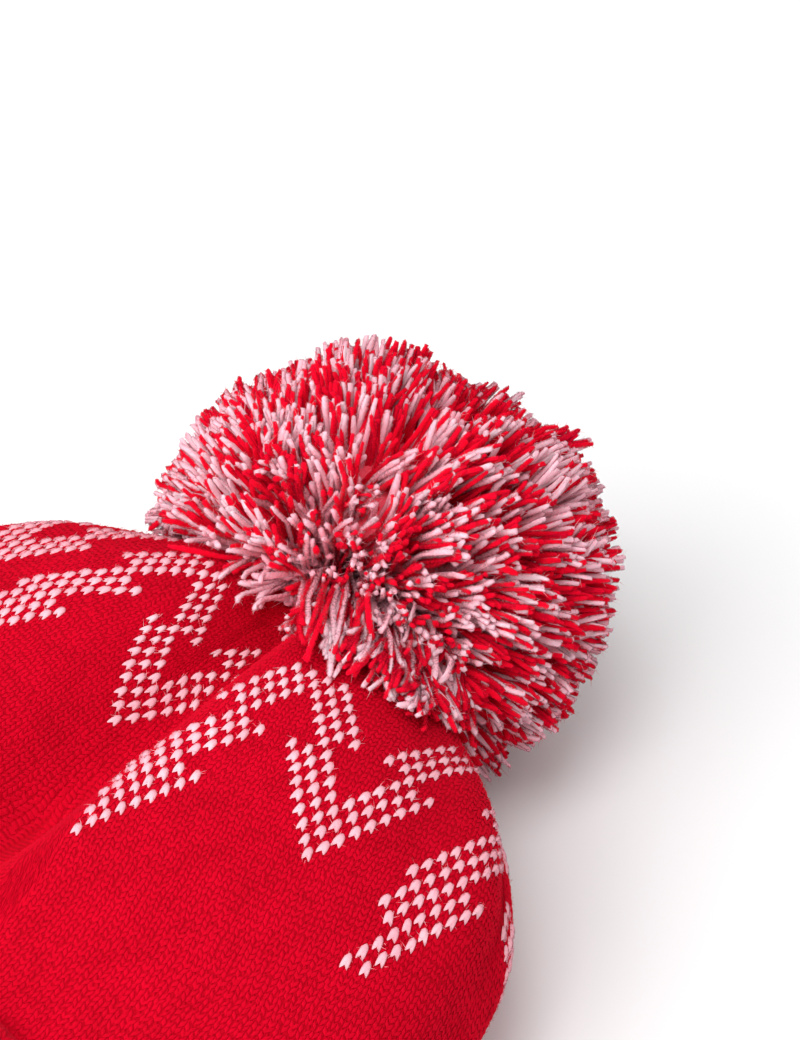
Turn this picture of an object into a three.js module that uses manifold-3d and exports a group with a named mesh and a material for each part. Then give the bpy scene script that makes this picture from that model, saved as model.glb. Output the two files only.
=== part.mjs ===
// A knitted bobble beanie lying on its side: a hollow body that is gathered at the crown and open at
// the mouth, a turned-up ribbed cuff, a yarn pompom, and the tie that holds the pompom to the crown.
// Millimetres, +Z up, with the surface that it lies on at z = 0.
// While it is built, the gather is at x = 0, the mouth faces -X and the pompom is at the +X end.

import * as THREE from "three";
import { mergeVertices } from "three/addons/utils/BufferGeometryUtils.js";
import Module from "manifold-3d";

const wasm = await Module();
wasm.setup();

// Driving dimensions
const hatLength = 206; // gather to rim, along the axis
const bodyWall = 3; // two-colour knit, with its floats inside
const pieceGap = 0.4; // between neighbouring pieces
const gatherHeight = 45; // the drawn-up hole's height over the floor
const gatherRadius = 5.5;

const cuffHeight = 62; // turned-up depth
const cuffWall = 3.6; // at a rib's crest
const cuffRibs = 54;
const cuffRibDepth = 1.1;
const cuffFold = 3.5; // how far the fold stands past the body's rim

const pompomRadius = { x: 53, y: 58, z: 52 };
const pompomAhead = 24; // its centre, in front of the gather
const pompomHeight = 48; // its centre, over the floor, where its underside is pressed flat
const pompomSide = 2;
const headShare = 0.88; // the solid head, as a share of the whole
const lockCount = 50;
const lockTipRadius = 9.4;
const lockRootRadius = 5;
const partingSide = -8; // the parting's plane, towards the near side
const partingSpread = 15;
const partingDepth = 0.22; // share of the reach lost in the parting

// Locks that lie back over the hat's shoulders. angle is round the gather, in degrees from straight
// up and positive to +Y, and reach is how far behind the gather the lock's tip lies on the hat.
const collarLift = 6;
const collarRise = 26; // these locks start this far over the pompom's centre
const collarLocks = [
  { angle: -64, reach: 9 },
  { angle: -50, reach: 17 },
  { angle: -38, reach: 26 },
  { angle: -27, reach: 33 },
  { angle: -16, reach: 31 },
  { angle: 8, reach: 15 },
  { angle: 24, reach: 16 },
  { angle: 42, reach: 13 },
];

const tieRadius = 3.6;
const tieKnotRadius = 5.2;
const tieGrip = 14; // how far the tie reaches into the pompom

// Ovals across the body, from the gather back to the rim. back is the distance behind the gather,
// halfWidth is across Y, and top and bottom are the oval's heights. The floor flattens an oval
// whose bottom dips below it.
const sections = [
  { back: 0.0, halfWidth: gatherRadius, top: gatherHeight + gatherRadius, bottom: gatherHeight - gatherRadius },
  { back: 1.0, halfWidth: 19, top: 55, bottom: 31 },
  { back: 5.0, halfWidth: 38, top: 61, bottom: 20 },
  { back: 13, halfWidth: 59, top: 66, bottom: 9 },
  { back: 27, halfWidth: 80, top: 72, bottom: 0 },
  { back: 47, halfWidth: 96, top: 75, bottom: -7 },
  { back: 73, halfWidth: 104, top: 74, bottom: -11 },
  { back: 104, halfWidth: 106, top: 71, bottom: -13 },
  { back: 138, halfWidth: 106, top: 65, bottom: -13 },
  { back: 172, halfWidth: 104, top: 63, bottom: -12 },
  { back: hatLength, halfWidth: 103, top: 62, bottom: -11 },
];

// Folds that run from the gather towards the rim. angle is in degrees from straight up, positive
// to +Y, far and near are how wide the fold is on its +Y and -Y sides, in degrees, and the fold
// keeps its depth up to holds and is gone at ends, both distances behind the gather.
const folds = [
  { name: "main_crease", angle: -7, depth: 17, far: 11, near: 4, holds: 92, ends: 150 },
  { name: "far_lobe_dip", angle: 34, depth: 2, far: 12, near: 12, holds: 36, ends: 105 },
  { name: "far_side_tuck", angle: 74, depth: 3, far: 9, near: 14, holds: 30, ends: 96 },
  { name: "near_lobe_dip", angle: -52, depth: 4, far: 14, near: 12, holds: 30, ends: 90 },
  { name: "near_side_tuck", angle: -84, depth: 3.5, far: 12, near: 9, holds: 46, ends: 118 },
];
const mainCrease = folds[0];

// Small pleats that the drawstring makes all round the gather.
const pleatCount = 17;
const pleatDepth = 2.6;
const pleatReach = 40;

// How finely the body is faceted
const bodyColumns = 62;
const stepsPerSection = 2;
const columnCrowding = 0.62; // pulls the columns together at the main crease

const redYarn = new THREE.Color(0xc4001c);
const knitMaterial = new THREE.MeshStandardMaterial({ color: redYarn, roughness: 0.95, metalness: 0 });
const ribMaterial = new THREE.MeshStandardMaterial({ color: redYarn, roughness: 0.95, metalness: 0 });
const pompomMaterial = new THREE.MeshStandardMaterial({ color: 0xd98a96, roughness: 1, metalness: 0 });
const tieMaterial = new THREE.MeshStandardMaterial({ color: 0xf0e4e4, roughness: 1, metalness: 0 });

const radians = THREE.MathUtils.degToRad;
const smoothstep = THREE.MathUtils.smoothstep;

// A column of the sections table at row, a whole or part number, on a smooth curve through the rows.
function sectionValue(row, column) {
  const last = sections.length - 1;
  const i = Math.min(Math.floor(row), last - 1);
  const t = row - i;
  const at = (k) => sections[THREE.MathUtils.clamp(k, 0, last)][column];
  const slopeIn = (at(i + 1) - at(i - 1)) / 2;
  const slopeOut = (at(i + 2) - at(i)) / 2;
  const t2 = t * t;
  const t3 = t2 * t;
  return (
    (2 * t3 - 3 * t2 + 1) * at(i) +
    (t3 - 2 * t2 + t) * slopeIn +
    (3 * t2 - 2 * t3) * at(i + 1) +
    (t3 - t2) * slopeOut
  );
}

// How far the folds and pleats draw the surface in, at an angle from straight up.
function foldDepth(back, halfWidth, angle) {
  const fullWidth = sections[7].halfWidth;
  const openness = smoothstep(halfWidth, gatherRadius, 0.9 * fullWidth);
  let depth = 0;
  for (const fold of folds) {
    const turn = Math.atan2(Math.sin(angle - radians(fold.angle)), Math.cos(angle - radians(fold.angle)));
    const spread = radians(turn > 0 ? fold.far : fold.near);
    const along = 1 - smoothstep(back, fold.holds, fold.ends);
    depth += fold.depth * openness * along * Math.exp(-((turn / spread) ** 2));
  }
  const pleatFade = openness * (1 - smoothstep(back, 0, pleatReach));
  return depth + pleatDepth * pleatFade * (0.5 + 0.5 * Math.cos(pleatCount * angle));
}

// How high the body is carried over the floor: on the cuff's underside it lies on the cuff.
function floorUnder(back) {
  const cuffEdge = hatLength - cuffHeight;
  return (cuffWall + pieceGap) * smoothstep(back, cuffEdge - 22, cuffEdge - 2);
}

// A point of the body, offset outwards from its outer face. Past the rim the last oval carries on.
function bodyPoint(row, angle, offset, pastRim = 0) {
  const back = sectionValue(row, "back");
  const halfWidth = sectionValue(row, "halfWidth");
  const top = sectionValue(row, "top");
  const bottom = sectionValue(row, "bottom");
  const step = 0.01;
  const last = sections.length - 1;
  const before = Math.max(row - step, 0);
  const after = Math.min(row + step, last);
  const run = sectionValue(after, "back") - sectionValue(before, "back");
  const rise = sectionValue(after, "halfWidth") - sectionValue(before, "halfWidth");
  const length = Math.hypot(run, rise);
  const axial = offset * (rise / length); // the part of the offset along +X
  const radial = offset * (run / length) - foldDepth(back, halfWidth, angle);
  const centre = (top + bottom) / 2;
  const halfHeight = (top - bottom) / 2;
  const y = (halfWidth + radial) * Math.sin(angle);
  const z = centre + (halfHeight + radial) * Math.cos(angle);
  const rest = Math.max(floorUnder(back) - offset, 0);
  return new THREE.Vector3(axial - back - pastRim, y, Math.max(z, rest));
}

// Angles round the body, closer together at the main crease.
function columnAngles() {
  return Array.from({ length: bodyColumns }, (_, i) => {
    const even = ((i + 0.5) / bodyColumns) * 2 * Math.PI - Math.PI;
    return radians(mainCrease.angle) + even - columnCrowding * Math.sin(even);
  });
}

// A closed band of quads through rings of points, ring to ring. A looped band joins its last ring
// to its first, and the others are capped with a fan.
function bandGeometry(rings, looped) {
  const count = rings[0].length;
  const positions = rings.flat().flatMap((p) => [p.x, p.y, p.z]);
  const index = [];
  const pairs = looped ? rings.length : rings.length - 1;
  for (let r = 0; r < pairs; r++) {
    const a = r * count;
    const b = ((r + 1) % rings.length) * count;
    for (let i = 0; i < count; i++) {
      const j = (i + 1) % count;
      index.push(a + i, b + j, b + i, a + i, a + j, b + j);
    }
  }
  if (!looped) {
    const lastRing = (rings.length - 1) * count;
    for (let i = 1; i < count - 1; i++) {
      index.push(0, i + 1, i);
      index.push(lastRing, lastRing + i, lastRing + i + 1);
    }
  }
  const geometry = new THREE.BufferGeometry();
  geometry.setAttribute("position", new THREE.Float32BufferAttribute(positions, 3));
  geometry.setIndex(index);
  return geometry;
}

function bodyRows() {
  const steps = (sections.length - 1) * stepsPerSection;
  return Array.from({ length: steps + 1 }, (_, i) => i / stepsPerSection);
}

// The body's wall: out along its outer face, over the rim, and back along its inner face.
function bodyGeometry() {
  const angles = columnAngles();
  const face = (offset) => bodyRows().map((row) => angles.map((angle) => bodyPoint(row, angle, offset)));
  return bandGeometry([...face(0), ...face(-bodyWall).reverse()], true);
}

// The body as a filled form, a little larger, which clears room for it in its neighbours.
function bodyClearance() {
  const angles = columnAngles();
  return bandGeometry(bodyRows().map((row) => angles.map((angle) => bodyPoint(row, angle, pieceGap))), false);
}

// The cuff's section, from its free edge along the outside, round the fold and back inside.
// share places a point along the cuff, and rib is how much of a rib's depth shows there.
function cuffGeometry() {
  const inside = pieceGap;
  const outside = pieceGap + cuffWall;
  const profile = [
    { share: 0, offset: inside, rib: 0, pastRim: 0 },
    { share: 0, offset: outside - 0.6, rib: 0.6, pastRim: 0 },
    { share: 0.05, offset: outside, rib: 1, pastRim: 0 },
    { share: 1, offset: outside - 0.2, rib: 1, pastRim: 0 },
    { share: 1, offset: 0, rib: 0.4, pastRim: cuffFold },
    { share: 1, offset: -bodyWall, rib: 0, pastRim: cuffFold - 0.6 },
    { share: 1, offset: -bodyWall, rib: 0, pastRim: pieceGap },
    { share: 1, offset: inside, rib: 0, pastRim: pieceGap },
  ];
  const columnsPerRib = 3;
  const columns = cuffRibs * columnsPerRib;
  const lastRow = sections.length - 1;
  const firstRow = rowAtBack(hatLength - cuffHeight);
  const rings = profile.map((point) =>
    Array.from({ length: columns }, (_, i) => {
      const angle = evenAngle(i / columns);
      const valley = i % columnsPerRib === 0 ? cuffRibDepth * point.rib : 0;
      const row = THREE.MathUtils.lerp(firstRow, lastRow, point.share);
      return bodyPoint(row, angle, point.offset - valley, point.pastRim);
    }),
  );
  return bandGeometry(rings, true);
}

// The row of the sections table whose oval is that far behind the gather.
function rowAtBack(back) {
  let low = 0;
  let high = sections.length - 1;
  for (let i = 0; i < 40; i++) {
    const middle = (low + high) / 2;
    if (sectionValue(middle, "back") < back) low = middle;
    else high = middle;
  }
  return low;
}

// The angle that is a share of the way round the rim by length, so that ribs are evenly spaced.
const rimSteps = 720;
const rimLengths = [0];
for (let i = 1; i <= rimSteps; i++) {
  const lastRow = sections.length - 1;
  const from = bodyPoint(lastRow, ((i - 1) / rimSteps) * 2 * Math.PI, 0);
  const to = bodyPoint(lastRow, (i / rimSteps) * 2 * Math.PI, 0);
  rimLengths.push(rimLengths[i - 1] + from.distanceTo(to));
}
function evenAngle(share) {
  const wanted = share * rimLengths[rimSteps];
  const i = rimLengths.findIndex((length) => length > wanted) - 1;
  const part = (wanted - rimLengths[i]) / (rimLengths[i + 1] - rimLengths[i]);
  return ((i + part) / rimSteps) * 2 * Math.PI;
}

// Joining and cutting
function solidFrom(geometry) {
  const bare = new THREE.BufferGeometry();
  const source = geometry.index ? geometry.toNonIndexed() : geometry;
  bare.setAttribute("position", source.getAttribute("position"));
  const merged = mergeVertices(bare, 1e-4);
  return new wasm.Manifold(
    new wasm.Mesh({
      numProp: 3,
      vertProperties: merged.attributes.position.array,
      triVerts: new Uint32Array(merged.index.array),
    }),
  );
}

function geometryFrom(solid) {
  const mesh = solid.getMesh();
  const geometry = new THREE.BufferGeometry();
  geometry.setAttribute("position", new THREE.BufferAttribute(mesh.vertProperties, 3));
  geometry.setIndex(new THREE.BufferAttribute(mesh.triVerts, 1));
  geometry.computeVertexNormals();
  return geometry;
}

function largestPart(solid) {
  return solid.decompose().reduce((a, b) => (b.volume() > a.volume() ? b : a));
}

// How much of the pompom's reach is left beside the parting, which runs over its upper side.
function partingShare(side, upward) {
  const dip = Math.exp(-(((side - partingSide) / partingSpread) ** 2));
  return 1 - partingDepth * dip * smoothstep(upward, -0.2, 0.5);
}

// One lock of yarn ends: a tuft that widens from the head out to a low, blunt tip.
function lockGeometry(length) {
  const root = 0.42 * length;
  const profile = [
    new THREE.Vector2(0, root),
    new THREE.Vector2(lockRootRadius, root),
    new THREE.Vector2(lockTipRadius, 0.93 * length),
    new THREE.Vector2(0, length),
  ];
  return new THREE.LatheGeometry(profile, 5);
}

// The pompom: a round head with locks all over it, trimmed at the floor and where the hat fills it.
function pompomGeometry() {
  const centre = new THREE.Vector3(pompomAhead, pompomSide, pompomHeight);
  const radii = new THREE.Vector3(pompomRadius.x, pompomRadius.y, pompomRadius.z);
  const head = new THREE.SphereGeometry(1, 16, 10).rotateX(Math.PI / 2);
  const corners = head.getAttribute("position");
  for (let i = 0; i < corners.count; i++) {
    const direction = new THREE.Vector3().fromBufferAttribute(corners, i);
    const reach = direction.clone().multiply(radii);
    reach.multiplyScalar(headShare * partingShare(reach.y, direction.z)).add(centre);
    corners.setXYZ(i, reach.x, reach.y, reach.z);
  }
  let solid = solidFrom(head);
  const goldenAngle = Math.PI * (3 - Math.sqrt(5));
  const up = new THREE.Vector3(0, 1, 0);
  const addLock = (from, reach) => {
    const lock = lockGeometry(reach.length());
    lock.applyQuaternion(new THREE.Quaternion().setFromUnitVectors(up, reach.clone().normalize()));
    lock.translate(from.x, from.y, from.z);
    solid = solid.add(solidFrom(lock));
  };
  for (let k = 0; k < lockCount; k++) {
    const forward = 1 - (2 * (k + 0.5)) / lockCount;
    const across = Math.sqrt(1 - forward * forward);
    const direction = new THREE.Vector3(
      forward,
      across * Math.cos(k * goldenAngle),
      across * Math.sin(k * goldenAngle),
    );
    const reach = direction.clone().multiply(radii);
    addLock(centre, reach.multiplyScalar(partingShare(reach.y, direction.z)));
  }
  const collarRoot = new THREE.Vector3(pompomAhead, partingSide, pompomHeight + collarRise);
  for (const { angle, reach } of collarLocks) {
    const tip = bodyPoint(rowAtBack(reach), radians(angle), collarLift);
    addLock(collarRoot, tip.sub(collarRoot));
  }
  const underFloor = new THREE.BoxGeometry(300, 300, 100).translate(0, 0, -50);
  const tieHole = new THREE.CylinderGeometry(tieRadius + pieceGap, tieRadius + pieceGap, 40, 12);
  tieHole.rotateZ(Math.PI / 2).translate(tieGrip + pieceGap - 20, 0, gatherHeight);
  solid = solid.subtract(solidFrom(underFloor));
  solid = solid.subtract(solidFrom(bodyClearance()));
  solid = solid.subtract(solidFrom(tieHole));
  return geometryFrom(largestPart(solid));
}

// The tie: a knot inside the crown, and its yarns out through the gather into the pompom.
function tieGeometry() {
  const behind = -bodyWall - 2.5;
  const profile = [
    new THREE.Vector2(0, behind - 2 * tieKnotRadius),
    new THREE.Vector2(0.75 * tieKnotRadius, behind - 1.7 * tieKnotRadius),
    new THREE.Vector2(tieKnotRadius, behind - tieKnotRadius),
    new THREE.Vector2(0.8 * tieKnotRadius, behind - 0.35 * tieKnotRadius),
    new THREE.Vector2(tieRadius, behind),
    new THREE.Vector2(tieRadius, tieGrip),
    new THREE.Vector2(0, tieGrip),
  ];
  return new THREE.LatheGeometry(profile, 12).rotateZ(-Math.PI / 2).translate(0, 0, gatherHeight);
}

const beanie = new THREE.Group();
beanie.name = "beanie";

function addPiece(name, geometry, material) {
  const mesh = new THREE.Mesh(geometry, material);
  mesh.name = name;
  beanie.add(mesh);
}

addPiece("knit_body", bodyGeometry(), knitMaterial);
addPiece("ribbed_cuff", cuffGeometry(), ribMaterial);
addPiece("pompom", pompomGeometry(), pompomMaterial);
addPiece("pompom_tie", tieGeometry(), tieMaterial);

// The origin is on the floor, under the middle of the whole hat.
const bounds = new THREE.Box3().setFromObject(beanie, true);
const middle = bounds.getCenter(new THREE.Vector3());
for (const piece of beanie.children) {
  piece.position.set(-middle.x, -middle.y, 0);
}

export default beanie;
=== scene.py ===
import math

import bmesh
import bpy
import numpy as np
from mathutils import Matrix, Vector
from mathutils.bvhtree import BVHTree


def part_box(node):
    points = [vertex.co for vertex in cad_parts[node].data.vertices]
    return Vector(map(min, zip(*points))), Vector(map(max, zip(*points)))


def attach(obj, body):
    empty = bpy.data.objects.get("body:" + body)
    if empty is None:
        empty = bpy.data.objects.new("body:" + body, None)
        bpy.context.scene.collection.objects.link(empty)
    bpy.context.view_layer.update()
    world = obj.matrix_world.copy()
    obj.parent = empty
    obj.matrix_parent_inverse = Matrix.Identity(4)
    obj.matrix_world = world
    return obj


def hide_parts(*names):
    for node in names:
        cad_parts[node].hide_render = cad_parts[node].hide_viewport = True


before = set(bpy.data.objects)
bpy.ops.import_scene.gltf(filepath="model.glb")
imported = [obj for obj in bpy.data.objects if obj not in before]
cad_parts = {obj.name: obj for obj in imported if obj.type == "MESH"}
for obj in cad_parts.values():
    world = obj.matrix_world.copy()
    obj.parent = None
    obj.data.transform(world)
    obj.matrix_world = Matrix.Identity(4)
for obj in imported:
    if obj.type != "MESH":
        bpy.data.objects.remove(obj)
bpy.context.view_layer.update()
mm = 0.001
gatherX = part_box("knit_body")[1].x / mm  # the drawn-up hole is the front of the body
print("frame loaded, gather at", round(gatherX, 2), "mm")


# the hat's form, in mm from the gather, as the solids have it
hatForm = {
    "ovals": np.array([  # behind the gather, half width, top and bottom
        (0, 5.5, 50.5, 39.5),
        (1, 19, 55, 31),
        (5, 38, 61, 20),
        (13, 59, 66, 9),
        (27, 80, 72, 0),
        (47, 96, 75, -7),
        (73, 104, 74, -11),
        (104, 106, 71, -13),
        (138, 106, 65, -13),
        (172, 104, 63, -12),
        (206, 103, 62, -11),
    ], float),
    "folds": [  # degrees from straight up, depth, far and near widths, where it starts to fade and ends
        (-7, 17, 11, 4, 92, 150),
        (34, 2, 12, 12, 36, 105),
        (74, 3, 9, 14, 30, 96),
        (-52, 4, 14, 12, 30, 90),
        (-84, 3.5, 12, 9, 46, 118),
    ],
    "wall": 3.0,
    "gatherRadius": 5.5,
    "fullWidth": 106.0,
    "openShare": 0.9,  # of the full width, where folds reach their full depth
    "pleats": 17,
    "pleatDepth": 2.6,
    "pleatReach": 40.0,
    "length": 206.0,
    "cuffHeight": 62.0,
    "cuffLift": 4.0,  # the body lies on the cuff's underside
    "liftRun": (22.0, 2.0),  # where the body starts to rise before the cuff, and is up
}


def smoothStep(x, low, high):
    t = np.clip((x - low) / (high - low), 0, 1)
    return t * t * (3 - 2 * t)


def unit(v):
    return v / np.maximum(np.linalg.norm(v, axis=-1, keepdims=True), 1e-9)


def ovalAt(row):
    ovals = hatForm["ovals"]
    last = len(ovals) - 1
    i = np.clip(np.floor(row).astype(int), 0, last - 1)
    t = (row - i)[..., None]

    def at(k):
        return ovals[np.clip(k, 0, last)]

    slopeIn = (at(i + 1) - at(i - 1)) / 2
    slopeOut = (at(i + 2) - at(i)) / 2
    start = (2 * t**3 - 3 * t**2 + 1) * at(i) + (t**3 - 2 * t**2 + t) * slopeIn
    return start + (3 * t**2 - 2 * t**3) * at(i + 1) + (t**3 - t**2) * slopeOut


def hatPoint(row, angle, offset=0.0, pastRim=0.0):
    row, angle, offset = np.broadcast_arrays(row, angle, offset)
    row = row.astype(float)
    form = hatForm
    last = len(form["ovals"]) - 1
    back, half, top, bottom = np.moveaxis(ovalAt(row), -1, 0)
    change = ovalAt(np.minimum(row + 0.01, last)) - ovalAt(np.maximum(row - 0.01, 0))
    run, rise = change[..., 0], change[..., 1]
    length = np.hypot(run, rise)
    openness = smoothStep(half, form["gatherRadius"], form["openShare"] * form["fullWidth"])
    drawnIn = np.zeros_like(back)
    for turnTo, depth, far, near, holds, ends in form["folds"]:
        turn = np.angle(np.exp(1j * (angle - math.radians(turnTo))))
        spread = np.radians(np.where(turn > 0, far, near))
        fading = 1 - smoothStep(back, holds, ends)
        drawnIn += depth * openness * fading * np.exp(-((turn / spread) ** 2))
    pleats = 0.5 + 0.5 * np.cos(form["pleats"] * angle)
    drawnIn += form["pleatDepth"] * openness * (1 - smoothStep(back, 0, form["pleatReach"])) * pleats
    radial = offset * run / length - drawnIn
    y = (half + radial) * np.sin(angle)
    z = (top + bottom) / 2 + ((top - bottom) / 2 + radial) * np.cos(angle)
    cuffEdge = form["length"] - form["cuffHeight"]
    liftStart, liftEnd = form["liftRun"]
    lift = form["cuffLift"] * smoothStep(back, cuffEdge - liftStart, cuffEdge - liftEnd)
    z = np.maximum(z, np.maximum(lift - offset, 0))
    x = offset * rise / length - back - pastRim
    return np.stack([x + gatherX, y, z], -1)


# the knit: wales run from the rim to the gather, rows go round at an even path from it
knitMap = {
    "wales": 238,
    "rows": 74,  # a white stitch is one row tall, a red one half a row
    "pitch": 2.05,
    "slant": 0.43,  # wales that the near side leans by in one row
    "leans": np.array([(0, 24), (34, -10), (44, -16), (54, -18), (74, -18)], float),  # row, rows of lean
    "leanStarts": (-2, 14),  # degrees to the near side where the lean begins and is full
    "leanEnds": (100, 170),
    "tucks": [(-84, 0.30), (74, 0.30), (-125, 0.12), (125, 0.12), (-165, 0.08), (165, 0.08)],
    "tuckWidth": 2.5,
    "drags": np.array([  # wale, rows that its stitches are drawn towards the gather
        (0, 0.4), (40, 1.9), (76, 2.4), (80, 1.9), (87, 0.9), (95, 0.4), (110.2, 0.4), (113.5, 9.2),
        (116, 9.2), (118, 8.6), (120, 7.8), (127, 6.8), (140, 6.4), (180, 5), (238, 0.4),
    ]),
    "narrows": np.array([  # wale, wales that the upper rows close up by
        (87, 0), (104, 1.36), (110, 0), (114, -0.6), (117.5, -1.5), (120, -0.3), (123.5, 0.3), (128, 1.4),
        (170, 0),
    ]),
    "narrowRows": (25, 31),  # rows over which that fades
}
around = np.linspace(-math.pi, math.pi, 1441)


def rowCurves(count):  # each line is one row, as a place among the ovals at every turn
    fine = np.linspace(0, len(hatForm["ovals"]) - 1, 601)
    points = hatPoint(fine[:, None], around[None, :])
    steps = np.linalg.norm(np.diff(points, axis=0), axis=-1)
    run = np.concatenate([np.zeros((1, len(around))), np.cumsum(steps, 0)])
    shares = np.linspace(0, 1, count + 1)
    curves = [np.interp(shares * run[-1, j], run[:, j], fine) for j in range(len(around))]
    return np.array(curves).T, run[-1].mean()


def leanAt(row):
    turn = -np.degrees(around)
    nearSide = smoothStep(turn, *knitMap["leanStarts"]) * (1 - smoothStep(turn, *knitMap["leanEnds"]))
    return knitMap["slant"] * nearSide * np.interp(row, *knitMap["leans"].T)


def runAlong(points):
    return np.concatenate([[0], np.cumsum(np.linalg.norm(np.diff(points, axis=0), axis=1))])


def waleAngles(curve, row, places):
    run = runAlong(hatPoint(curve, around))
    pitch, wales, width = knitMap["pitch"], knitMap["wales"], knitMap["tuckWidth"]
    spare = max(wales * pitch - run[-1], 0)
    fabric = run / pitch
    for turnTo, share in knitMap["tucks"]:
        place = np.interp(math.radians(turnTo), around, run)
        fabric = fabric + spare * share / pitch * smoothStep(run, place - width, place + width)
    fabric = fabric * wales / fabric[-1] - leanAt(row)
    return np.interp(places, fabric, around)


curves, meridian = rowCurves(2 * knitMap["rows"])
halfWales = np.arange(2 * knitMap["wales"] + 1) / 2
knitAngles = np.array([waleAngles(curve, k / 2, halfWales) for k, curve in enumerate(curves)])
knitRows = np.array([np.interp(angles, around, curve) for angles, curve in zip(knitAngles, curves)])
knitGrid = hatPoint(knitRows, knitAngles)
downSteps = np.gradient(knitGrid, axis=0)
wrapped = np.concatenate([knitGrid[:, -3:-1], knitGrid, knitGrid[:, 1:3]], 1)
acrossSteps = np.gradient(wrapped, axis=1)[:, 2:-2]
knitNormals = unit(np.cross(downSteps, acrossSteps))
sampleRow = knitGrid[knitMap["rows"]]
if (knitNormals[knitMap["rows"]] * (sampleRow - sampleRow.mean(0))).sum() < 0:
    knitNormals = -knitNormals
print("knit laid out,", round(meridian), "mm from gather to rim")


def drawnRow(wale, row):
    return row - np.interp(np.mod(wale, knitMap["wales"]), *knitMap["drags"].T)


def onKnit(wale, row, height):
    wale, row, height = np.broadcast_arrays(wale, row, height)
    closed = np.interp(wale, *knitMap["narrows"].T) * (1 - smoothStep(row, *knitMap["narrowRows"]))
    w = np.mod(wale - closed, knitMap["wales"]) * 2
    r = np.clip(drawnRow(wale, row) * 2, 0, len(knitRows) - 1.001)
    i = np.floor(r).astype(int)
    j = np.minimum(np.floor(w).astype(int), knitGrid.shape[1] - 2)
    s = (r - i)[..., None]
    t = (w - j)[..., None]

    def mixed(grid):
        near = grid[i, j] * (1 - t) + grid[i, j + 1] * t
        return near * (1 - s) + (grid[i + 1, j] * (1 - t) + grid[i + 1, j + 1] * t) * s

    return mixed(knitGrid) + unit(mixed(knitNormals)) * height[..., None]


# sizes of the pompom, in mm from the gather
pompomForm = {
    "centre": np.array([24.0, 2.0, 48.0]),
    "radii": np.array([52.5, 57.0, 51.5]),
    "root": np.array([8.0, 7.0, 46.0]),
    "strands": 12400,
    "collarStrands": 2700,
    "strayStrands": 46,
    "collar": [  # degrees round the hat, how far behind the gather the ends lie
        (-180, 6), (-110, 6), (-64, 10), (-53, 17), (-45, 22), (-38, 30), (-30, 34), (-24, 37), (-17, 38),
        (-7, 19), (5, 12), (25, 13), (42, 12), (70, 9), (110, 6), (180, 6),
    ],
    "locks": 460,
    "lockPull": 0.34,
    "pullRange": (0.2, 1.3),
    "lockJitter": 0.05,
    "endJitter": 0.02,
    "lockTrim": (0.93, 1.0),
    "endTrim": (0.965, 1.015),
    "shortTrim": (0.76, 0.97),
    "tuftBend": 2.6,
    "tuftShift": 0.9,
    "ownBend": 1.7,
    "collarBend": 1.9,  # those on the hat lie every way
    "rootSpread": 1.8,
    "rootGap": 3.0,
    "lifted": np.array([0.55, 0, 0.45]),  # which way the draped ones bow
    "sag": 2.0,
    "crownRoom": 5.0,
    "aheadBy": 3.0,
    "colourGroups": 2200,
    "yarn": 0.86,
    "partingSide": -8.0,
    "partingPush": 0.1,
    "partingSharp": 4.0,
    "partingReach": 16.0,
    "partingDip": 0.08,
    "partingWidth": 7.0,
    "partingBlend": 0.35,
    "shortShare": 0.45,
    "lobes": [  # which way, where it starts and is full, how much longer the yarn is there
        ((-0.67, 0.74, 0.0), 0.4, 0.85, 0.07),
        ((0.79, -0.22, 0.57), 0.91, 0.98, 0.03),
        ((0.75, -0.06, 0.66), 0.975, 0.995, -0.04),
        ((0.13, 0.69, 0.71), 0.86, 0.97, 0.04),
    ],
    "heart": 0.66,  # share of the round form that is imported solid
    "heartRough": 1.2,
    "heartGap": 3.5,  # ahead of the gather
    "palerSide": np.array([-0.8, 0.5, -0.3]),
    "paler": 0.6,
    "palerRange": (0.15, 0.5),
    "rings": np.array([0.2, 0.55, 0.78, 0.94, 1.0]),
    "swell": np.array([0.7, 0.95, 1.0, 1.06, 0.78]),
}


# mesh and material helpers
def newPiece(name, mesh, *materials):
    piece = bpy.data.objects.new(name, mesh)
    bpy.context.scene.collection.objects.link(piece)
    for material in materials:
        mesh.materials.append(material)
    mesh.shade_smooth()
    return piece


def ridingPiece(name, mesh, material):
    piece = newPiece(name, mesh, material)
    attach(piece, "root")
    return piece


def readPoints(mesh):
    flat = np.empty(len(mesh.vertices) * 3, np.float32)
    mesh.vertices.foreach_get("co", flat)
    return flat.reshape(-1, 3)


def setPoints(mesh, points):  # points in mm
    mesh.vertices.foreach_set("co", (points * mm).astype(np.float32).ravel())


noQuads = np.zeros((0, 4), int)
noTris = np.zeros((0, 3), int)


def arrayMesh(name, points, quads, tris, uvs=None):  # many small repeats joined
    mesh = bpy.data.meshes.new(name)
    corners = np.concatenate([quads.ravel(), tris.ravel()]).astype(np.int32)
    starts = np.concatenate([np.arange(len(quads)) * 4, len(quads) * 4 + np.arange(len(tris)) * 3])
    mesh.vertices.add(len(points))
    setPoints(mesh, points)
    mesh.loops.add(len(corners))
    mesh.loops.foreach_set("vertex_index", corners)
    mesh.polygons.add(len(starts))
    mesh.polygons.foreach_set("loop_start", starts.astype(np.int32))
    if uvs is not None:
        layer = mesh.uv_layers.new(name="yarn")
        layer.uv.foreach_set("vector", uvs[corners].astype(np.float32).ravel())
    mesh.update(calc_edges=True)
    mesh.validate()
    return mesh


def operatorMesh(name, operator, settings, uvName=None):
    work = bmesh.new()
    if uvName:
        work.loops.layers.uv.new(uvName)
    operator(work, **settings)
    mesh = bpy.data.meshes.new(name)
    work.to_mesh(mesh)
    work.free()
    return mesh


weldDistance = 2e-6


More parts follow.
